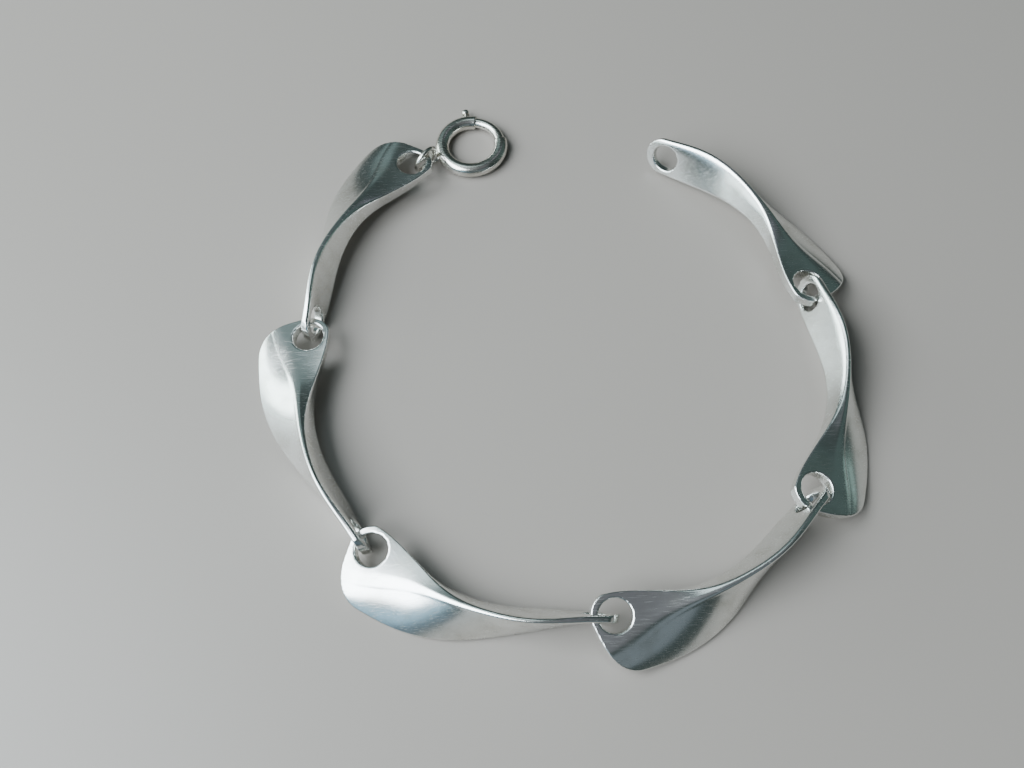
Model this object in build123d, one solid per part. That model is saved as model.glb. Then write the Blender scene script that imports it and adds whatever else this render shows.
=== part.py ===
"""Silver bracelet of six sculpted links with a bolt ring clasp, lying open on a flat surface.

Every link is the same solid form: a wide, nearly level paddle with a hole at one end, which rolls
over along its length into a narrow upright blade with a hole at the other. Each blade stands
in the next link's paddle hole. A jump ring ties the first paddle to the clasp, and the last blade's
hole is what the clasp's bolt goes through.

Lengths are millimetres and angles are degrees. The frame has +Z up and the surface at z = 0.
"""
import os
from collections import namedtuple
from math import cos, degrees, radians, sin

from build123d import *

# Link
link_pitch = 27.5          # hole to hole along one link
paddle_width = 9.4         # nominal; the wide end is about 10 across
blade_height = 5.54        # across the narrow end
lobe_edge = 0.55           # thickness of the paddle's thin outer edge
corner_round = 0.25        # rounding of the long edges
paddle_hole_d = 4.25
blade_hole_d = 3.65
tip_rim = 0.8              # metal left round the paddle hole at the tip
paddle_hole_fall = 8.0     # slope of the paddle towards its tip
blade_hole_turn = 16.0     # the blade curves towards the wearer at its end

# Bolt ring clasp. Its angles run anticlockwise from the side away from the lug.
clasp_d = 10.5             # outside diameter
tube_d = 2.0
bore_d = 1.6               # inside of the hollow tube
bolt_clearance = 0.08      # all round the bolt in its tube
gap_from = -6.5            # the tube is open between these two angles
gap_to = 63.0
bolt_overlap = 10.0        # the bolt enters the far tube by this angle
knob_angle = 80.5
bolt_tail = 13.0           # the bolt goes on past its knob by this angle
bolt_travel = 70.0
knob_d = 1.15
knob_stand = 1.2           # the knob stands this far out of the tube
knob_head = 0.75           # length of the knob's head
stem_d = 0.62
slot_clearance = 0.1       # each side of the knob's stem

# The clasp's lug, a flat loop, and the jump ring
lug_eye_d = 1.55
lug_wire = 0.38            # width and thickness of the loop
lug_gap = 0.1              # the eye starts this far off the tube
lug_rise = 0.12            # the loop is this far above the tube's centre
jump_ring_d = 3.7          # through the wire's centre
jump_wire_d = 0.7

# One row for each cross section. along is a share of link_pitch from hole to hole. The other places are
# measured from the line between the holes: y, towards the inside of the loop, as a share of
# paddle_width, and z, up, as a share of blade_height. inner is the edge between the inner side and
# the top, ridge the soft crest on top, lobe the outer edge before it is bevelled off, base the lower
# inner edge. crest is the ridge's rounding as a share of blade_height.
Section = namedtuple("Section", "along inner_y inner_z ridge_y ridge_z lobe_y lobe_z base_y base_z crest")
SECTIONS = [
    Section(-0.140, 0.330, 0.020, -0.395, 0.150, -0.852, -0.070, 0.330, -0.170, 0.400),
    Section(-0.035, 0.335, 0.085, -0.400, 0.215, -0.916, -0.042, 0.335, -0.110, 0.420),
    Section(0.070, 0.235, 0.130, -0.345, 0.268, -0.973, -0.082, 0.205, -0.158, 0.385),
    Section(0.175, 0.078, 0.182, -0.284, 0.316, -1.007, -0.132, 0.010, -0.217, 0.296),
    Section(0.280, -0.079, 0.306, -0.298, 0.432, -0.998, -0.134, -0.115, -0.100, 0.212),
    Section(0.385, -0.205, 0.445, -0.312, 0.548, -0.936, -0.150, -0.180, 0.005, 0.143),
    Section(0.490, -0.248, 0.569, -0.329, 0.651, -0.821, -0.207, -0.206, 0.030, 0.093),
    Section(0.595, -0.255, 0.662, -0.331, 0.724, -0.663, -0.305, -0.195, -0.010, 0.070),
    Section(0.700, -0.235, 0.722, -0.310, 0.768, -0.512, -0.376, -0.145, -0.095, 0.057),
    Section(0.805, -0.172, 0.735, -0.250, 0.775, -0.355, -0.424, -0.058, -0.200, 0.051),
    Section(0.910, -0.058, 0.660, -0.158, 0.697, -0.187, -0.465, 0.009, -0.335, 0.050),
    Section(1.015, 0.062, 0.506, -0.053, 0.504, -0.055, -0.487, 0.062, -0.480, 0.050),
    Section(1.120, 0.135, 0.340, 0.018, 0.340, 0.018, -0.620, 0.135, -0.610, 0.050),
]
blade_centre = 0.025       # height of the blade's hole above the line, as a share of blade_height

# The wide end's outline beyond the tip's arc, as shares of paddle_width from the paddle hole.
LOBE_END = [(-0.317, -0.213), (-0.293, -0.415), (-0.223, -0.590), (-0.106, -0.714), (0.043, -0.786)]
tip_leaves = 102.0         # the tip's arc runs off the link's inner side at this angle

# How each link lies. yaw is its heading from paddle to blade, pitch the rise of that line, roll the
# turn of its inner side upwards. reach and side place its paddle hole from the last link's blade
# hole, along and across that link's heading, as shares of paddle_hole_d.
Lie = namedtuple("Lie", "yaw pitch roll reach side")
LIES = [
    Lie(-118.4, -0.3, 7.4, 0.000, 0.000),
    Lie(-76.0, -0.9, 9.3, 0.693, 0.273),
    Lie(-19.6, -0.2, 15.1, 0.642, 0.350),
    Lie(26.9, -0.5, 20.6, 0.532, 0.165),
    Lie(81.2, -2.0, 21.3, 0.328, 0.280),
    Lie(126.0, -1.2, 19.1, 0.327, 0.213),
]
first_paddle = (-18.908, 30.438)  # where the first link's paddle hole is on the surface

# The jump ring and the clasp lie at these places from the first paddle hole. ahead is along the
# heading out_heading and aside is to its left. lean, tip and turn stand the ring on edge.
out_heading = 29.3
Place = namedtuple("Place", "ahead aside height lean tip turn")
JUMP_AT = Place(2.48, 0.52, 2.21, 99.3, 3.7, 48.8)
CLASP_AT = Place(9.65, -0.25, 1.00, 0.0, 0.0, 16.5)
far = 30.0                       # longer than anything that is cut off


def unit(vector):
    return vector * (1 / vector.length)


def section_face(row):
    """One cross section of a link, square to the line between its holes."""
    x = row.along * link_pitch

    def at(share_y, share_z):
        return Vector(share_y * paddle_width, share_z * blade_height)

    inner = at(row.inner_y, row.inner_z)
    ridge = at(row.ridge_y, row.ridge_z)
    lobe = at(row.lobe_y, row.lobe_z)
    base = at(row.base_y, row.base_z)
    up_side = unit(ridge - lobe)
    low_side = unit(base - lobe)
    # The sharp outer corner is bevelled where the metal is lobe_edge thick.
    half_angle = radians(up_side.get_angle(low_side)) / 2
    back = lobe_edge / (2 * sin(half_angle))
    corners = [inner, ridge, lobe + up_side * back, lobe + low_side * back, base]
    rounds = [corner_round, max(row.crest * blade_height, corner_round), corner_round * 0.8, corner_round * 0.8,
              corner_round]
    outline = Polyline(*[(c.X, c.Y) for c in corners], close=True)
    face = make_face(outline)
    for corner, radius in zip(corners, rounds):
        vertex = face.vertices().sort_by_distance((corner.X, corner.Y, 0))[0]
        face = fillet(vertex, radius)
    plane = Plane(origin=(x, 0, 0), x_dir=(0, 1, 0), z_dir=(1, 0, 0))
    return (plane * face).face()


def paddle_trim():
    """What is cut off round the tip of the wide end, seen from above."""
    tip = paddle_hole_d / 2 + tip_rim
    start, middle, end = [(tip * cos(radians(a)), tip * sin(radians(a))) for a in (tip_leaves, 140, 180)]
    arc = ThreePointArc(start, middle, end)
    lobe = Spline(end, *[(u * paddle_width, v * paddle_width) for u, v in LOBE_END], tangents=[(0, -1), (1, -0.45)])
    leave = radians(tip_leaves - 90)
    over = (start[0] + far * cos(leave), start[1] + far * sin(leave))
    last = (LOBE_END[-1][0] * paddle_width, LOBE_END[-1][1] * paddle_width)
    under = (last[0] + far, last[1] - 0.45 * far)
    corner = (-far, under[1])
    rest = Polyline(last, under, corner, (-far, over[1]), over, start)
    return extrude(make_face(Wire([*arc.edges(), *lobe.edges(), *rest.edges()])), far / 2, both=True)


def blade_trim(centre_z):
    """What is cut off round the narrow end, seen from the side."""
    disc = Plane.XZ * Location((link_pitch, centre_z)) * Circle(blade_height * 0.51)
    block = Plane.XZ * Location((link_pitch + far / 2, 0)) * Rectangle(far, far)
    return extrude(block - disc, far / 2, both=True)


def make_link():
    """One link, its paddle hole at the origin and its blade hole at x = link_pitch."""
    body = Solid.make_loft([section_face(row).outer_wire() for row in SECTIONS])
    body = Part() + body
    centre_z = blade_centre * blade_height
    body -= paddle_trim()
    body -= blade_trim(centre_z)
    body -= Rotation(0, -paddle_hole_fall, 0) * Cylinder(paddle_hole_d / 2, far / 3)
    across = Rotation(0, 0, blade_hole_turn) * Rotation(90, 0, 0)
    body -= Location((link_pitch, 0, centre_z)) * across * Cylinder(blade_hole_d / 2, far / 3)
    return body


def heading(angle):
    return Vector(cos(radians(angle)), sin(radians(angle)))


def lowest(piece):
    """How low a piece reaches. Its mesh tells this more truly than the loose box round a loft."""
    points, _ = piece.tessellate(0.01)
    return min(point.Z for point in points)


def lay_links(link):
    """The six links, each set down on the surface and reaching into the next."""
    laid = []
    centre_z = blade_centre * blade_height
    paddle = Vector(*first_paddle)
    blade_heading = 0.0
    for row in LIES:
        if laid:
            along = heading(blade_heading) * row.reach * paddle_hole_d
            across = heading(blade_heading + 90) * row.side * paddle_hole_d
            paddle = blade + along + across
        turn = Rotation(0, 0, row.yaw) * Rotation(0, -row.pitch, 0) * Rotation(row.roll, 0, 0)
        piece = turn * link
        drop = -lowest(piece)
        place = Location((paddle.X, paddle.Y, drop)) * turn
        laid.append((place * link, place))
        tip = (place * Location((link_pitch, 0, centre_z))).position
        blade = Vector(tip.X, tip.Y)
        blade_heading = row.yaw
    return laid


def ring_arc(radius, tube, start, end):
    """A round bar bent about the Z axis from start to end, at height zero."""
    profile = Plane.XZ * Location((radius, 0)) * Circle(tube)
    return Rotation(0, 0, start) * revolve(profile, Axis.Z, revolution_arc=end - start)


ring_radius = (clasp_d - tube_d) / 2
bolt_r = bore_d / 2 - bolt_clearance
stem_r = stem_d / 2


def make_lug():
    """The loop that the jump ring goes through, let into the tube's wall at 180 degrees."""
    eye_x = clasp_d / 2 + lug_gap + lug_eye_d / 2
    root_x = clasp_d / 2 - tube_d / 2
    loop = Location((eye_x, 0)) * Circle(lug_eye_d / 2 + lug_wire)
    legs = Location(((root_x + eye_x) / 2, 0)) * Rectangle(eye_x - root_x, lug_eye_d + 2 * lug_wire)
    eye = Location((eye_x, 0)) * Circle(lug_eye_d / 2)
    lug = extrude(loop + legs - eye, lug_wire / 2, both=True)
    lug = Location((0, 0, lug_rise)) * lug
    lug -= ring_arc(ring_radius, (tube_d + bore_d) / 4, -40, 40)
    return Rotation(0, 0, 180) * lug


def make_clasp_ring():
    """The hollow tube with its slot for the knob, and the lug soldered on."""
    arc = ring_arc(ring_radius, tube_d / 2, gap_to, 360 + gap_from)
    arc -= ring_arc(ring_radius, bore_d / 2, gap_to - 5, 365 + gap_from)
    stem_half = degrees((stem_r + slot_clearance) / ring_radius)
    slot_h = 2 * (stem_r + slot_clearance)
    slot = Plane.XZ * Location((clasp_d / 2, 0)) * Rectangle(tube_d, slot_h)
    cut = revolve(slot, Axis.Z, revolution_arc=bolt_travel + 2 * stem_half)
    arc -= Rotation(0, 0, knob_angle - stem_half) * cut
    return arc + make_lug()


def make_clasp_bolt():
    """The bolt that closes the gap, with the knob that draws it back."""
    bar = ring_arc(ring_radius, bolt_r, gap_from - bolt_overlap, knob_angle + bolt_tail)
    knob_end = clasp_d / 2 + knob_stand
    stem_l = knob_end - ring_radius
    stem = Location((ring_radius + stem_l / 2, 0, 0), (0, 90, 0)) * Cylinder(stem_r, stem_l)
    head = Location((knob_end - knob_head / 2, 0, 0), (0, 90, 0)) * Cylinder(knob_d / 2, knob_head)
    head = fillet(head.edges().filter_by(GeomType.CIRCLE), knob_head * 0.3)
    return bar + Rotation(0, 0, knob_angle) * (stem + head)


def stand(piece, place, first):
    """Put a piece at its place from the first paddle hole."""
    at = Vector(first.X, first.Y) + heading(out_heading) * place.ahead + heading(out_heading + 90) * place.aside
    turn = Rotation(0, 0, place.turn) * Rotation(0, place.tip, 0) * Rotation(place.lean, 0, 0)
    return Location((at.X, at.Y, place.height)) * turn * piece


os.makedirs("parts", exist_ok=True)
laid = lay_links(make_link())
for number, (piece, place) in enumerate(laid, start=1):
    export_step(piece, f"parts/link_{number}.step")
first = laid[0][1].position
export_step(stand(Torus(jump_ring_d / 2, jump_wire_d / 2), JUMP_AT, first), "parts/jump_ring.step")
export_step(stand(make_clasp_ring(), CLASP_AT, first), "parts/clasp_ring.step")
export_step(stand(make_clasp_bolt(), CLASP_AT, first), "parts/clasp_bolt.step")
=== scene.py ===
"""Silver bracelet of six twisted links with a bolt ring clasp, lying open on a pale floor.

Every piece is modelled here in millimetres, in its own place or about its own middle, and then put
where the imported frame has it.
"""
import math
from collections import namedtuple

import bmesh
import bpy
import numpy as np
from mathutils import Matrix, Vector
from mathutils.bvhtree import BVHTree


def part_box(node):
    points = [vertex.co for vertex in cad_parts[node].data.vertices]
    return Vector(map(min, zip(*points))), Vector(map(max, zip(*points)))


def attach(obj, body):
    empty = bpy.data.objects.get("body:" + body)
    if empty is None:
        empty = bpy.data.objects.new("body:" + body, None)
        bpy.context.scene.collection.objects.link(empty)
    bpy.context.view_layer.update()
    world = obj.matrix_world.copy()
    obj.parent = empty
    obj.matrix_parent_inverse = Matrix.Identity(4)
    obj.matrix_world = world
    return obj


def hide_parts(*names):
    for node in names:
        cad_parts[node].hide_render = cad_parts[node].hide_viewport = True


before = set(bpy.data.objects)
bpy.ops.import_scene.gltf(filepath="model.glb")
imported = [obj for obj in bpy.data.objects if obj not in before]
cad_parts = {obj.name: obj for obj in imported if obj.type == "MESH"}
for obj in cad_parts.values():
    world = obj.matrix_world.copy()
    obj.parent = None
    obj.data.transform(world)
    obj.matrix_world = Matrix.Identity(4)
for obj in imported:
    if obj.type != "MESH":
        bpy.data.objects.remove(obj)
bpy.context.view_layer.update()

MM = 0.001

# Link, as in the frame's model, in millimetres and degrees
LINK_PITCH = 27.5  # hole to hole
PADDLE_WIDTH = 9.4
BLADE_HEIGHT = 5.54
LOBE_EDGE = 0.55  # thickness of the wide end's outer edge
CORNER_ROUND = 0.25
LOBE_ROUND = 0.8 * CORNER_ROUND
PADDLE_HOLE_R = 2.125
BLADE_HOLE_R = 1.825
TIP_RIM = 0.8  # metal round the wide end's hole at the tip
TIP_R = PADDLE_HOLE_R + TIP_RIM
TIP_LEAVES = 102.0  # the tip's arc ends at this angle
NOSE_R = 0.51 * BLADE_HEIGHT  # outline of the narrow end
PADDLE_HOLE_FALL = 8.0
BLADE_HOLE_TURN = 16.0
BLADE_CENTRE = 0.025 * BLADE_HEIGHT

# Each row is a cross section. along is a share of LINK_PITCH, the y values are shares of
# PADDLE_WIDTH and the z values and crest are shares of BLADE_HEIGHT.
Section = namedtuple(
    "Section", "along inner_y inner_z ridge_y ridge_z lobe_y lobe_z base_y base_z crest")
SECTIONS = [
    Section(-0.140, 0.330, 0.020, -0.395, 0.150, -0.852, -0.070, 0.330, -0.170, 0.400),
    Section(-0.035, 0.335, 0.085, -0.400, 0.215, -0.916, -0.042, 0.335, -0.110, 0.420),
    Section(0.070, 0.235, 0.130, -0.345, 0.268, -0.973, -0.082, 0.205, -0.158, 0.385),
    Section(0.175, 0.078, 0.182, -0.284, 0.316, -1.007, -0.132, 0.010, -0.217, 0.296),
    Section(0.280, -0.079, 0.306, -0.298, 0.432, -0.998, -0.134, -0.115, -0.100, 0.212),
    Section(0.385, -0.205, 0.445, -0.312, 0.548, -0.936, -0.150, -0.180, 0.005, 0.143),
    Section(0.490, -0.248, 0.569, -0.329, 0.651, -0.821, -0.207, -0.206, 0.030, 0.093),
    Section(0.595, -0.255, 0.662, -0.331, 0.724, -0.663, -0.305, -0.195, -0.010, 0.070),
    Section(0.700, -0.235, 0.722, -0.310, 0.768, -0.512, -0.376, -0.145, -0.095, 0.057),
    Section(0.805, -0.172, 0.735, -0.250, 0.775, -0.355, -0.424, -0.058, -0.200, 0.051),
    Section(0.910, -0.058, 0.660, -0.158, 0.697, -0.187, -0.465, 0.009, -0.335, 0.050),
    Section(1.015, 0.062, 0.506, -0.053, 0.504, -0.055, -0.487, 0.062, -0.480, 0.050),
    Section(1.120, 0.135, 0.340, 0.018, 0.340, 0.018, -0.620, 0.135, -0.610, 0.050),
]
# The wide end's outline beyond the tip's arc, as shares of PADDLE_WIDTH.
LOBE_END = [(-0.317, -0.213), (-0.293, -0.415), (-0.223, -0.590), (-0.106, -0.714),
            (0.043, -0.786)]
LOBE_END_SLOPE = -0.45

# How each link lies, in degrees.
Lie = namedtuple("Lie", "yaw pitch roll")
LIES = {
    "link_1": Lie(-118.4, -0.3, 7.4),
    "link_2": Lie(-76.0, -0.9, 9.3),
    "link_3": Lie(-19.6, -0.2, 15.1),
    "link_4": Lie(26.9, -0.5, 20.6),
    "link_5": Lie(81.2, -2.0, 21.3),
    "link_6": Lie(126.0, -1.2, 19.1),
}

# Clasp and jump ring, as in the frame's model, in millimetres and degrees
CLASP_R = 5.25
TUBE_R = 1.0
BORE_R = 0.8
BOLT_R = 0.72
RING_R = CLASP_R - TUBE_R
GAP_FROM, GAP_TO = -6.5, 63.0  # the tube is open between these angles
BOLT_OVERLAP = 10.0  # the bolt enters the far tube by this angle
KNOB_ANGLE = 80.5
BOLT_TAIL = 13.0  # the bolt goes on past its knob by this angle
BOLT_TRAVEL = 70.0
KNOB_R = 0.575
KNOB_STAND = 1.2
KNOB_HEAD = 0.75
KNOB_ROUND = 0.3 * KNOB_HEAD
STEM_R = 0.31
STEM_SHORT = 0.1  # the stem is this much shorter than from the bolt's middle to the knob's end
SLOT_CLEARANCE = 0.1
SLOT_HALF = STEM_R + SLOT_CLEARANCE
LUG_EYE_R = 0.775
LUG_WIRE = 0.38
LUG_GAP = 0.1
LUG_RISE = 0.12
CLASP_TURN = 16.5
JUMP_R = 1.85
JUMP_WIRE_R = 0.35
JUMP_TURN = (99.3, 3.7, 48.8)

# How far the outer face stands out of its flat at the wide end, as a share of its breadth
FACE_SWELL = 0.04
# The narrow end's upper inner edge is rubbed away this far towards the crest, as a share of the
# top's breadth, and this far down the inner side, in millimetres
EDGE_UP, EDGE_DOWN = 0.45, 1.6
# Where along the link that wear starts and where it is full
EDGE_STARTS, EDGE_FULL = 0.20, 0.52
# The wide end's ridge is this many times softer than in the table, up to where it starts to
# sharpen. It is as sharp as in the table from the second place on.
SOFT_CREST = 2.2
CREST_SHARPENS, CREST_SHARP = 0.05, 0.40
# How far along, in sections, the rows are evened out, and how many times that far is looked at
EVEN_OVER = 0.9
EVEN_REACH = 2.5
# Hole rims are rounded over this breadth each side and this far off the hole's middle, in
# millimetres. The rounding is full nearer than a third of the breadth.
RIM_BREADTH = 0.55
RIM_DEPTH = 3.75
RIM_FULL = 1.5
# Rounding its rim opens a hole, so the wide end's is cut this much smaller in radius, in
# millimetres
RIM_OPENS = 0.13
# The cast skin is drawn back onto the swept form where it faces the same way within this angle,
# in degrees, and lies within this gap, in millimetres
ALIKE_ANGLE = 14.0
ALIKE_GAP = 0.08
# It is drawn back less and less over the last third before each limit, and not at all where the
# weight is under the least
ALIKE_FADE = 3.0
LEAST_WEIGHT = 0.02

# Mesh fineness, in millimetres
LINK_GRAIN = 0.10
CLASP_GRAIN = 0.085
# How often each surface is rubbed, settled or spread, and how hard
LINK_POLISH, CLASP_POLISH = 3, 4
LINK_SETTLES = 40
RIM_RUBS = 30
WEIGHT_SPREADS = 6
RUB = 0.5
SETTLE_PULLS = (0.5, -0.53)
# Steps along curves
LINK_ROWS = 280
TIP_STEPS, LOBE_STEPS, NOSE_STEPS, SLOT_STEPS = 24, 10, 48, 40
PEG_SEGMENTS = 64
KNOB_BEVELS = 4
# How many points each rounded corner and each side of a link's section has, in the order inner,
# ridge, upper lobe, lower lobe, base
CORNER_POINTS = (16, 16, 5, 5, 6)
SIDE_POINTS = (12, 26, 2, 22, 12)
# Cutters reach out of the clasp by this, in millimetres, and past its tube's ends by this angle
CUT_OUT = 1.0
CUT_PAST = 5.0
# Well outside any piece, in millimetres
FAR = 30.0
# Points nearer than this are one point, in millimetres
SAME = 1e-5


def turned(x=0.0, y=0.0, z=0.0):
    """A turn about X, then Y, then Z, in degrees."""
    about_x, about_y, about_z = [
        Matrix.Rotation(math.radians(angle), 4, axis)
        for angle, axis in ((x, "X"), (y, "Y"), (z, "Z"))
    ]
    return about_z @ about_y @ about_x


def mesh_from(bm, name):
    """The bmesh as a mesh. The bmesh itself is freed."""
    mesh = bpy.data.meshes.new(name)
    bm.to_mesh(mesh)
    bm.free()
    return mesh


def shown(name, data):
    """An object in the scene, with the mesh, camera or lamp given."""
    obj = bpy.data.objects.new(name, data)
    bpy.context.scene.collection.objects.link(obj)
    return obj


def baked(obj, name):
    """The object's mesh with its modifiers applied. The object itself is removed."""
    bpy.context.view_layer.update()
    graph = bpy.context.evaluated_depsgraph_get()
    mesh = bpy.data.meshes.new_from_object(obj.evaluated_get(graph), depsgraph=graph)
    mesh.name = name
    bpy.data.objects.remove(obj)
    return mesh


def joined(meshes, name):
    """Several meshes as one."""
    bm = bmesh.new()
    for mesh in meshes:
        bm.from_mesh(mesh)
    return mesh_from(bm, name)


def cast(name, solids, cutters, grain, polish):
    """One smooth skin over the solids, less the cutters, with edges rounded as polishing does."""
    stock = shown(name, joined(solids, name))
    if len(solids) > 1:
        fuse = stock.modifiers.new("fuse", "REMESH")
        fuse.mode = "VOXEL"
        fuse.voxel_size = grain
    tools = [shown(name + "_tool", cutter) for cutter in cutters]
    for tool in tools:
        cut = stock.modifiers.new("cut", "BOOLEAN")
        cut.operation = "DIFFERENCE"
        cut.solver = "EXACT"
        cut.object = tool
    skin = stock.modifiers.new("skin", "REMESH")
    skin.mode = "VOXEL"
    skin.voxel_size = grain
    skin.use_smooth_shade = True
    rub = stock.modifiers.new("rub", "SMOOTH")
    rub.factor = RUB
    rub.iterations = polish
    mesh = baked(stock, name)
    for tool in tools:
        bpy.data.objects.remove(tool)
    return mesh


def smooth_rows(rows, count):
    """Rows in between the table's, on natural cubic curves through them all, and then evened out.

    What a second evening takes away is given back, so broad bends stay as they are.
    """
    table = np.array(rows)
    last = len(rows) - 1
    system = np.eye(last + 1)
    for k in range(1, last):
        system[k, k - 1:k + 2] = 1, 4, 1
    pull = np.zeros_like(table)
    pull[1:-1] = 6 * (table[2:] - 2 * table[1:-1] + table[:-2])
    bend = np.linalg.solve(system, pull)
    places = np.linspace(0, last, count)
    first = np.minimum(places.astype(int), last - 1)
    t = (places - first)[:, None]
    s = 1 - t
    fine = s * table[first] + t * table[first + 1]
    fine += (s ** 3 - s) * bend[first] / 6 + (t ** 3 - t) * bend[first + 1] / 6
    once = evened(fine, count / last)
    return 2 * once - evened(once, count / last)


def evened(rows, per_section):
    """The rows with ripples that are only a section or two long taken out."""
    reach = round(EVEN_REACH * EVEN_OVER * per_section)
    steps = np.arange(-reach, reach + 1) / (EVEN_OVER * per_section)
    weights = np.exp(-steps ** 2 / 2)
    weights /= weights.sum()
    before = 2 * rows[0] - rows[reach:0:-1]
    after = 2 * rows[-1] - rows[-2:-reach - 2:-1]
    longer = np.vstack([before, rows, after])
    return np.array([np.convolve(column, weights, "valid") for column in longer.T]).T


def eased_share(row, start, end):
    """0 before one place along the link and 1 after another, with a smooth change between."""
    share = min(max((row.along - start) / (end - start), 0.0), 1.0)
    return share * share * (3 - 2 * share)


def section_points(row):
    """One cross section's outline, as (y, z) points in millimetres, round from the inner edge."""
    row = Section(*row)
    inner, ridge, lobe, base = [
        Vector((y * PADDLE_WIDTH, z * BLADE_HEIGHT))
        for y, z in ((row.inner_y, row.inner_z), (row.ridge_y, row.ridge_z),
                     (row.lobe_y, row.lobe_z), (row.base_y, row.base_z))
    ]
    up_side = (ridge - lobe).normalized()
    low_side = (base - lobe).normalized()
    back = LOBE_EDGE / (2 * math.sin(up_side.angle(low_side) / 2))
    corners = [inner, ridge, lobe + up_side * back, lobe + low_side * back, base]
    sharpened = eased_share(row, CREST_SHARPENS, CREST_SHARP)
    crest = row.crest * BLADE_HEIGHT * (SOFT_CREST + (1 - SOFT_CREST) * sharpened)
    rounds = [CORNER_ROUND, max(crest, CORNER_ROUND), LOBE_ROUND, LOBE_ROUND, CORNER_ROUND]
    points = []
    for k, (corner, radius) in enumerate(zip(corners, rounds)):
        to_last = (corners[k - 1] - corner).normalized()
        to_next = (corners[(k + 1) % len(corners)] - corner).normalized()
        half = to_last.angle(to_next) / 2
        reach = radius / math.tan(half)
        if k == 0:
            # The upper inner edge is a softer curve than an arc, and wears wider along the link
            worn = eased_share(row, EDGE_STARTS, EDGE_FULL)
            down = corner + to_last * (reach + (EDGE_DOWN - reach) * worn)
            over = corner + to_next * (reach + (EDGE_UP * (ridge - inner).length - reach) * worn)
            shares = [step / CORNER_POINTS[k] for step in range(CORNER_POINTS[k] + 1)]
            points.append([down * (1 - t) ** 2 + corner * 2 * t * (1 - t) + over * t * t
                           for t in shares])
            continue
        middle = corner + (to_last + to_next).normalized() * radius / math.sin(half)
        start = corner + to_last * reach - middle
        end = corner + to_next * reach - middle
        sweep = start.angle_signed(end)
        arc = []
        for step in range(CORNER_POINTS[k] + 1):
            angle = -sweep * step / CORNER_POINTS[k]
            spoke = Vector((start.x * math.cos(angle) - start.y * math.sin(angle),
                            start.x * math.sin(angle) + start.y * math.cos(angle)))
            arc.append(middle + spoke)
        points.append(arc)
    outline = []
    for k, arc in enumerate(points):
        outline += arc
        following = points[(k + 1) % len(points)][0]
        side = following - arc[-1]
        outward = Vector((side.y, -side.x)).normalized()
        swell = 0.0
        if k == 1:
            # The outer face is crowned at the wide end
            swell = FACE_SWELL * side.length * (1 - eased_share(row, CREST_SHARP, 1.0))
        for step in range(1, SIDE_POINTS[k]):
            t = step / SIDE_POINTS[k]
            outline.append(arc[-1].lerp(following, t) + outward * swell * 4 * t * (1 - t))
    return outline


def link_stock(count):
    """The link's swept form before its ends and holes are cut."""
    rows = smooth_rows(SECTIONS, count)
    outlines = [section_points(row) for row in rows]
    around = len(outlines[0])
    bm = bmesh.new()
    bmesh.ops.create_grid(bm, x_segments=count - 1, y_segments=around, size=1)
    bm.verts.ensure_lookup_table()
    for index, vert in enumerate(bm.verts):
        ring, place = index % count, (index // count) % around
        y, z = outlines[ring][place]
        vert.co = (rows[ring][0] * LINK_PITCH, y, z)
    bmesh.ops.remove_doubles(bm, verts=bm.verts, dist=SAME)
    bmesh.ops.holes_fill(bm, edges=[e for e in bm.edges if e.is_boundary], sides=0)
    bmesh.ops.recalc_face_normals(bm, faces=bm.faces)
    for face in bm.faces:
        face.smooth = True
    return mesh_from(bm, "link_stock")


def prism(points, place, depth):
    """A flat outline made solid, as deep both ways."""
    bm = bmesh.new()
    face = bm.faces.new([bm.verts.new((x, y, -depth)) for x, y in points])
    grown = bmesh.ops.extrude_face_region(bm, geom=[face])
    tops = [v for v in grown["geom"] if isinstance(v, bmesh.types.BMVert)]
    bmesh.ops.translate(bm, verts=tops, vec=(0, 0, 2 * depth))
    bmesh.ops.recalc_face_normals(bm, faces=bm.faces)
    bmesh.ops.transform(bm, matrix=place, verts=bm.verts)
    return mesh_from(bm, "prism")


def peg(radius, length, place, rounding=0.0):
    """A round bar about Z, with rounded ends if asked."""
    bm = bmesh.new()
    bmesh.ops.create_cone(bm, cap_ends=True, segments=PEG_SEGMENTS, radius1=radius,
                          radius2=radius, depth=length)
    if rounding:
        rims = [e for e in bm.edges if abs(e.verts[0].co.z - e.verts[1].co.z) < SAME]
        bmesh.ops.bevel(bm, geom=rims, offset=rounding, segments=KNOB_BEVELS, profile=0.5,
                        affect="EDGES", material=-1)
    bmesh.ops.transform(bm, matrix=place, verts=bm.verts)
    return mesh_from(bm, "peg")


def bar(radius, thick, start, end, steps=120, around=40):
    """A round bar bent about Z from one angle to another, or all the way round."""
    bm = bmesh.new()
    bmesh.ops.create_circle(bm, segments=around, radius=thick)
    whole = end - start >= 360
    place = turned(z=start) @ Matrix.Translation((radius, 0, 0)) @ turned(x=90)
    bmesh.ops.transform(bm, matrix=place, verts=bm.verts)
    bmesh.ops.spin(bm, geom=bm.verts[:] + bm.edges[:], cent=(0, 0, 0), axis=(0, 0, 1),
                   angle=math.radians(end - start), steps=steps, use_merge=whole)
    if not whole:
        bmesh.ops.holes_fill(bm, edges=[e for e in bm.edges if e.is_boundary], sides=0)
    bmesh.ops.recalc_face_normals(bm, faces=bm.faces)
    for face in bm.faces:
        face.smooth = True
    return mesh_from(bm, "bar")


def on_arc(radius, angle):
    """The point at this radius and angle round Z."""
    return radius * math.cos(math.radians(angle)), radius * math.sin(math.radians(angle))


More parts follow.
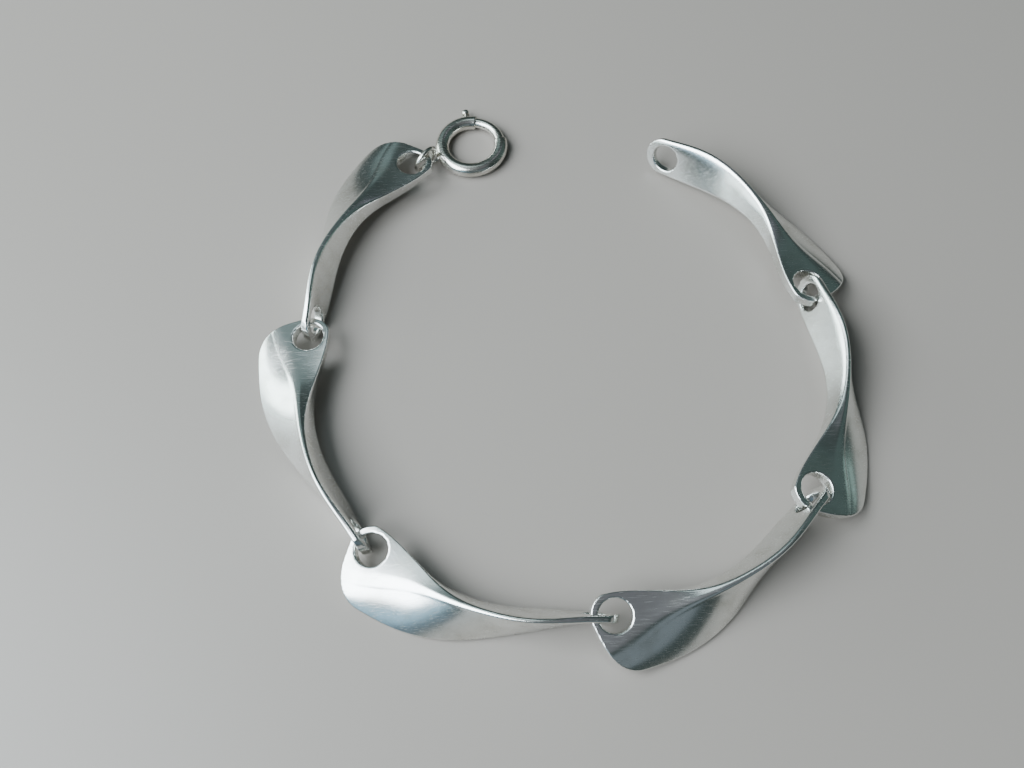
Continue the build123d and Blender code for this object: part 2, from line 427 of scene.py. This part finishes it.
def curve_through(points, first_slope, last_slope, per_span):
    """Points on a smooth curve through those given, leaving and arriving as the slopes say."""
    points = [Vector(p) for p in points]
    tangents = [(after - before) / 2 for before, after in zip(points, points[2:])]
    tangents.insert(0, Vector(first_slope).normalized() * (points[1] - points[0]).length)
    tangents.append(Vector(last_slope).normalized() * (points[-1] - points[-2]).length)
    line = []
    for k, (here, there) in enumerate(zip(points, points[1:])):
        for step in range(per_span):
            t = step / per_span
            line.append(here * (2 * t ** 3 - 3 * t ** 2 + 1)
                        + tangents[k] * (t ** 3 - 2 * t ** 2 + t)
                        + there * (3 * t ** 2 - 2 * t ** 3)
                        + tangents[k + 1] * (t ** 3 - t ** 2))
    return line + [points[-1]]


BLADE_AT = Matrix.Translation((LINK_PITCH, 0, BLADE_CENTRE))
LINK_HOLES = [(PADDLE_HOLE_R - RIM_OPENS, turned(y=-PADDLE_HOLE_FALL)),
              (BLADE_HOLE_R, BLADE_AT @ turned(x=90, z=BLADE_HOLE_TURN))]


def link_cutters():
    """What is cut off round both ends of a link, and its two holes."""
    arc = [on_arc(TIP_R, TIP_LEAVES + (180 - TIP_LEAVES) * k / TIP_STEPS)
           for k in range(TIP_STEPS)]
    lobe = [(x * PADDLE_WIDTH, y * PADDLE_WIDTH) for x, y in LOBE_END]
    lobe = curve_through([(-TIP_R, 0)] + lobe, (0, -1), (1, LOBE_END_SLOPE), LOBE_STEPS)
    end = lobe[-1]
    start = Vector(arc[0])
    over = start + Vector(on_arc(FAR, TIP_LEAVES - 90))
    under = (end[0] + FAR, end[1] + LOBE_END_SLOPE * FAR)
    outline = arc + lobe + [under, (-FAR, under[1]), (-FAR, over.y), over]
    paddle_end = prism(outline, Matrix.Identity(4), FAR / 2)
    nose = [on_arc(NOSE_R, 90 - 180 * k / NOSE_STEPS) for k in range(NOSE_STEPS + 1)]
    nose += [(0, -FAR), (FAR, -FAR), (FAR, FAR), (0, FAR)]
    blade_end = prism(nose, BLADE_AT @ turned(x=90), FAR / 2)
    pegs = [peg(radius, FAR / 3, place) for radius, place in LINK_HOLES]
    return [paddle_end, blade_end] + pegs


def edge_ends(mesh):
    """The first and the last point of each of a mesh's edges."""
    ends = np.zeros(len(mesh.edges) * 2, int)
    mesh.edges.foreach_get("vertices", ends)
    return ends[::2], ends[1::2]


def near_mean(values, first, last):
    """For each of a mesh's points, the mean of the values at the points joined to it."""
    size = len(values)
    count = np.bincount(first, minlength=size) + np.bincount(last, minlength=size)
    return (np.bincount(first, values[last], size) + np.bincount(last, values[first], size)) / count


def spread(mesh, values, times):
    """Values at a mesh's points, lowered to the least near by and then evened out."""
    first, last = edge_ends(mesh)
    low = values.copy()
    for _ in range(times // 3):
        ends_low = np.minimum(low[first], low[last])
        np.minimum.at(low, first, ends_low)
        np.minimum.at(low, last, ends_low)
    for _ in range(times):
        low = (low + near_mean(low, first, last)) / 2
    return low


def settled(mesh, times):
    """The cast skin with the steps taken out of its edges.

    Its points are pulled in and out by turns, so nothing gets thinner.
    """
    first, last = edge_ends(mesh)
    points = np.zeros(len(mesh.vertices) * 3)
    mesh.vertices.foreach_get("co", points)
    axes = [points[k::3].copy() for k in range(3)]
    for _ in range(times):
        for pull in SETTLE_PULLS:
            axes = [axis + pull * (near_mean(axis, first, last) - axis) for axis in axes]
    for k in range(3):
        points[k::3] = axes[k]
    mesh.vertices.foreach_set("co", points)
    mesh.update()
    return mesh


def eased(skin, holes):
    """The cast skin with its hole rims rubbed rounder."""
    obj = shown("link_skin", skin)
    rims = obj.vertex_groups.new(name="rims")
    for vert in skin.vertices:
        for radius, place in holes:
            at = place @ vert.co
            near = 1 - abs(math.hypot(at.x, at.y) - radius) / RIM_BREADTH
            if near > 0 and abs(at.z) < RIM_DEPTH:
                rims.add([vert.index], min(1.0, RIM_FULL * near), "REPLACE")
    rub = obj.modifiers.new("rub", "SMOOTH")
    rub.factor = RUB
    rub.iterations = RIM_RUBS
    rub.vertex_group = "rims"
    return baked(obj, "link")


def faced(skin, stock_mesh):
    """The cast skin drawn back onto the swept form, and shaded as it, wherever no cut was made."""
    stock = shown("link_form", stock_mesh)
    obj = shown("link_skin", skin)
    surface = BVHTree.FromPolygons([vert.co for vert in stock_mesh.vertices],
                                   [face.vertices for face in stock_mesh.polygons])
    broad = obj.vertex_groups.new(name="broad")
    limit = math.cos(math.radians(ALIKE_ANGLE))
    weights = np.zeros(len(skin.vertices))
    for vert in skin.vertices:
        _, normal, _, gap = surface.find_nearest(vert.co)
        alike = ALIKE_FADE * (vert.normal.dot(normal) - limit) / (1 - limit)
        close = ALIKE_FADE * (1 - gap / ALIKE_GAP)
        weights[vert.index] = min(max(alike, 0.0), 1.0) * min(max(close, 0.0), 1.0)
    weights = spread(skin, weights, WEIGHT_SPREADS)
    for index, weight in enumerate(weights):
        if weight > LEAST_WEIGHT:
            broad.add([index], weight, "REPLACE")
    draw = obj.modifiers.new("draw", "SHRINKWRAP")
    draw.target = stock
    draw.wrap_method = "NEAREST_SURFACEPOINT"
    draw.vertex_group = "broad"
    shade = obj.modifiers.new("shade", "DATA_TRANSFER")
    shade.object = stock
    shade.use_loop_data = True
    shade.data_types_loops = {"CUSTOM_NORMAL"}
    shade.loop_mapping = "POLYINTERP_NEAREST"
    shade.vertex_group = "broad"
    mesh = baked(obj, "link")
    bpy.data.objects.remove(stock)
    return mesh


def corners_of(mesh):
    """A mesh's lowest and highest corners."""
    points = np.zeros(len(mesh.vertices) * 3)
    mesh.vertices.foreach_get("co", points)
    points = points.reshape(-1, 3)
    return Vector(points.min(0)), Vector(points.max(0))


def placed(name, mesh, turn, node, body, material):
    """A copy of a mesh in millimetres, turned and put in the middle of its frame node's box."""
    mesh = mesh.copy()
    mesh.transform(Matrix.Scale(MM, 4) @ turn)
    low, high = corners_of(mesh)
    node_low, node_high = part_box(node)
    shift = (node_low + node_high - low - high) / 2
    mesh.transform(Matrix.Translation(shift))
    obj = shown(name, mesh)
    mesh.materials.clear()
    mesh.materials.append(material)
    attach(obj, body)
    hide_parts(node)


def to_linear(code):
    """An sRGB hex colour as linear RGBA."""
    parts = [int(code[k:k + 2], 16) / 255 for k in (1, 3, 5)]
    linear = [p / 12.92 if p <= 0.04045 else ((p + 0.055) / 1.055) ** 2.4 for p in parts]
    return (*linear, 1.0)


def add(tree, kind, settings=None, links=None):
    """Adds a node, sets its properties and inputs, and links its inputs to other nodes' outputs."""
    node = tree.nodes.new(kind)
    for key, value in (settings or {}).items():
        if isinstance(key, int) or key in node.inputs:
            node.inputs[key].default_value = value
        else:
            setattr(node, key, value)
    for key, source in (links or {}).items():
        tree.links.new(source, node.inputs[key])
    return node


# Grain of the silver, in millimetres. Real hair scratches are some hundredths of a millimetre
# wide, too fine to show, so these are drawn as coarse as they need to show.
TARNISH_CLOUD = 2.5
TARNISH_FROM, TARNISH_TO = 0.45, 0.8  # the part of the noise that is tarnished
TARNISH_MOST = 0.6
SCRATCH_WIDTH = 0.09
SCRATCH_DEPTH = 0.01
SCRATCH_TURNS = (12.0, 57.0, 101.0, 148.0)  # degrees about Z
SCRATCH_SQUEEZE = (0.03, 1.0, 0.25)  # about 33 times as long as wide, and 4 times as deep
SCRATCH_FROM, SCRATCH_TO = 0.62, 0.78  # the part of the noise that is scratched
DENT_SIZE = 1.4
DENT_DEPTH = 0.05
DENT_STRENGTH = 0.06
# How much rougher the silver is where it is scratched, and where it is tarnished
SCRATCH_HAZE = 0.10
TARNISH_HAZE = 0.08


def buffed_silver(name, colour, shade, roughness, scratch):
    """Sterling silver that was cast or drawn and then buffed.

    It mirrors its surroundings, slightly warm and softly blurred. Years of wear leave a haze of
    hair scratches in all directions, and faint clouds of tarnish.
    """
    material = bpy.data.materials.new(name)
    material.use_nodes = True
    tree = material.node_tree
    tree.nodes.clear()
    place = add(tree, "ShaderNodeTexCoord").outputs["Object"]
    # Clouds of slight tarnish, 2.5 mm across
    cloud = add(tree, "ShaderNodeTexNoise", {"Scale": 1 / (TARNISH_CLOUD * MM), "Detail": 4.0},
                {"Vector": place})
    fade = add(tree, "ShaderNodeMapRange",
               {"From Min": TARNISH_FROM, "From Max": TARNISH_TO, "To Max": TARNISH_MOST},
               {"Value": cloud.outputs["Fac"]})
    tint = add(tree, "ShaderNodeMix",
               {"data_type": "RGBA", 6: to_linear(colour), 7: to_linear(shade)},
               {0: fade.outputs["Result"]})
    # Hair scratches: long thin grains of noise, laid four ways
    height = None
    for turn in SCRATCH_TURNS:
        lay = add(tree, "ShaderNodeMapping",
                  {"Rotation": (0.0, 0.0, math.radians(turn)), "Scale": SCRATCH_SQUEEZE},
                  {"Vector": place})
        grain = add(tree, "ShaderNodeTexNoise",
                    {"Scale": 1 / (SCRATCH_WIDTH * MM), "Detail": 1.0},
                    {"Vector": lay.outputs["Vector"]})
        line = add(tree, "ShaderNodeMapRange",
                   {"From Min": SCRATCH_FROM, "From Max": SCRATCH_TO},
                   {"Value": grain.outputs["Fac"]})
        if height is None:
            height = line.outputs["Result"]
        else:
            both = add(tree, "ShaderNodeMath", {"operation": "MAXIMUM"},
                       {0: height, 1: line.outputs["Result"]})
            height = both.outputs["Value"]
    # The unevenness that hand buffing leaves, 1.4 mm across
    dent = add(tree, "ShaderNodeTexNoise", {"Scale": 1 / (DENT_SIZE * MM), "Detail": 2.0},
               {"Vector": place})
    soft = add(tree, "ShaderNodeBump", {"Strength": DENT_STRENGTH, "Distance": DENT_DEPTH * MM},
               {"Height": dent.outputs["Fac"]})
    bump = add(tree, "ShaderNodeBump",
               {"Strength": scratch, "Distance": SCRATCH_DEPTH * MM, "invert": True},
               {"Height": height, "Normal": soft.outputs["Normal"]})
    haze = add(tree, "ShaderNodeMath",
               {"operation": "MULTIPLY_ADD", 1: SCRATCH_HAZE, 2: roughness}, {0: height})
    blur = add(tree, "ShaderNodeMath", {"operation": "MULTIPLY_ADD", 1: TARNISH_HAZE},
               {0: fade.outputs["Result"], 2: haze.outputs["Value"]})
    shader = add(tree, "ShaderNodeBsdfPrincipled", {"Metallic": 1.0},
                 {"Base Color": tint.outputs[2], "Roughness": blur.outputs["Value"],
                  "Normal": bump.outputs["Normal"]})
    add(tree, "ShaderNodeOutputMaterial", None, {"Surface": shader.outputs["BSDF"]})
    return material


# The links are bright sterling silver, worn to a soft mirror
link_silver = buffed_silver("buffed_sterling_silver", "#ECEDEA", "#C0BFB5", 0.19, 0.11)
# The clasp and its ring are handled less and rubbed less, so they are darker and more tarnished
clasp_silver = buffed_silver("buffed_silver_clasp", "#DFDDD6", "#A8A393", 0.20, 0.13)

# Links
form = link_stock(LINK_ROWS)
skin = settled(cast("link", [form], link_cutters(), LINK_GRAIN, LINK_POLISH), LINK_SETTLES)
skin = eased(skin, [(radius, place.inverted()) for radius, place in LINK_HOLES])
link = faced(skin, form)
for name, lie in LIES.items():
    turn = turned(x=lie.roll, y=-lie.pitch, z=lie.yaw)
    placed(name + "_silver", link, turn, name, "bracelet", link_silver)

# Jump ring
jump = bar(JUMP_R, JUMP_WIRE_R, 0, 360, steps=96, around=32)
placed("jump_ring_silver", jump, turned(*JUMP_TURN), "jump_ring", "bracelet",
       clasp_silver)

# Clasp, a bent tube with its bore, the slot that its knob slides in, and the lug's loop
loop = bar(LUG_EYE_R + LUG_WIRE / 2, LUG_WIRE / 2, 0, 360, steps=64, around=24)
eye_x = CLASP_R + LUG_GAP + LUG_EYE_R
loop.transform(turned(z=180) @ Matrix.Translation((eye_x, 0, LUG_RISE)))
slot_end = math.degrees(SLOT_HALF / RING_R)
slot_from = KNOB_ANGLE - slot_end
slot_to = KNOB_ANGLE + BOLT_TRAVEL + slot_end
slot_line = [on_arc(CLASP_R + CUT_OUT, slot_from + (slot_to - slot_from) * k / SLOT_STEPS)
             for k in range(SLOT_STEPS + 1)]
slot_line += [on_arc(RING_R, slot_to + (slot_from - slot_to) * k / SLOT_STEPS)
              for k in range(SLOT_STEPS + 1)]
slot_cut = prism(slot_line, Matrix.Identity(4), SLOT_HALF)
tube = bar(RING_R, TUBE_R, GAP_TO, 360 + GAP_FROM)
bore = bar(RING_R, BORE_R, GAP_TO - CUT_PAST, 360 + CUT_PAST + GAP_FROM)
clasp = cast("clasp", [tube, loop], [bore, slot_cut], CLASP_GRAIN, CLASP_POLISH)
placed("clasp_ring_silver", clasp, turned(z=CLASP_TURN), "clasp_ring", "bracelet",
       clasp_silver)

# Bolt
knob_end = CLASP_R + KNOB_STAND
across = turned(z=KNOB_ANGLE) @ turned(y=90)
stem_at = across @ Matrix.Translation((0, 0, (knob_end + RING_R) / 2))
stem = peg(STEM_R, knob_end - RING_R - STEM_SHORT, stem_at)
head_at = across @ Matrix.Translation((0, 0, knob_end - KNOB_HEAD / 2))
head = peg(KNOB_R, KNOB_HEAD, head_at, rounding=KNOB_ROUND)
rod = bar(RING_R, BOLT_R, GAP_FROM - BOLT_OVERLAP, KNOB_ANGLE + BOLT_TAIL, steps=60)
bolt = joined([rod, stem, head], "bolt")
for face in bolt.polygons:
    face.use_smooth = True
placed("clasp_bolt_silver", bolt, turned(z=CLASP_TURN), "clasp_bolt", "bolt",
       clasp_silver)

# Camera, at the photograph's place. Its focal length is in pixels of the 1024 wide picture.
TARGET = Vector((-6.078, -3.212, 0)) * MM
EYE = Vector((-6.078, -65.512, 130.52)) * MM
CAMERA_ROLL = -2.63
FOCAL_PIXELS, PICTURE_PIXELS = 1100, 1024
SENSOR_MM = 36.0
NEAREST = 0.005
ahead = (TARGET - EYE).normalized()
right = Vector((1, 0, 0))
up = right.cross(ahead)
level = Matrix((right, up, -ahead)).transposed().to_4x4()
camera_data = bpy.data.cameras.new("camera")
camera_data.lens = FOCAL_PIXELS / PICTURE_PIXELS * SENSOR_MM
camera_data.sensor_width = SENSOR_MM
camera_data.clip_start = NEAREST
camera = shown("camera", camera_data)
camera.matrix_world = Matrix.Translation(EYE) @ level @ turned(z=CAMERA_ROLL)
bpy.context.scene.camera = camera

# Floor: pale grey paint with a slight sheen, 4 m each way
FLOOR_HALF = 2.0
bm = bmesh.new()
bmesh.ops.create_grid(bm, x_segments=1, y_segments=1, size=FLOOR_HALF)
floor = shown("floor", mesh_from(bm, "floor"))
floor_paint = bpy.data.materials.new("pale_floor")
floor_paint.use_nodes = True
floor_shader = floor_paint.node_tree.nodes["Principled BSDF"]
floor_shader.inputs["Base Color"].default_value = to_linear("#979089")
floor_shader.inputs["Roughness"].default_value = 0.4
floor.data.materials.append(floor_paint)

# A dim room round the lamps
world = bpy.data.worlds.new("studio")
bpy.context.scene.world = world
world.use_nodes = True
background = world.node_tree.nodes["Background"]
background.inputs["Color"].default_value = to_linear("#6F8382")
background.inputs["Strength"].default_value = 0.26

LAMP_DISTANCE = 0.60


def softbox(name, azimuth, elevation, size, radiance, colour):
    """A soft lamp aimed at the bracelet. Its size is in metres.

    Azimuth is from +X, and both angles are in degrees. Its power gives it the radiance asked for.
    """
    lamp = bpy.data.lights.new(name, "AREA")
    lamp.shape = "RECTANGLE"
    lamp.size, lamp.size_y = size
    lamp.energy = radiance * math.pi * size[0] * size[1]
    lamp.color = to_linear(colour)[:3]
    obj = shown(name, lamp)
    at = turned(y=-elevation, z=azimuth) @ Vector((LAMP_DISTANCE, 0, 0))
    obj.location = at
    obj.rotation_euler = (-at).to_track_quat("-Z", "Y").to_euler()


# A large window, its lower panes, and fainter boxes for what the rest of the room gives back
softbox("window", 195, 47, (0.62, 0.41), 13.0, "#ECF7FF")
softbox("window_foot", 188, 12, (0.46, 0.22), 4.0, "#E4F6FA")
softbox("window_low", 228, 22, (0.34, 0.18), 1.1, "#98CCEA")
softbox("back_left", 154, 13, (0.26, 0.20), 8.0, "#E4F6F6")
softbox("glow", 127, 67, (0.30, 0.20), 1.6, "#DDF2F8")
softbox("low_left", 250, 14, (0.34, 0.24), 0.25, "#8FB0D0")
softbox("ceiling", 290, 74, (0.46, 0.46), 0.26, "#A098A6")
softbox("front", 294, 30, (0.45, 0.26), 0.34, "#A6B2C0")
softbox("wall", 127, 36, (0.42, 0.40), 0.34, "#A2BEC0")
softbox("east", 20, 35, (0.50, 0.40), 0.11, "#8FB3B0")
softbox("back_right", 58, 58, (0.07, 0.16), 0.5, "#DCD6F0")
softbox("right_low", 10, 8, (0.11, 0.08), 0.6, "#BFE6E0")
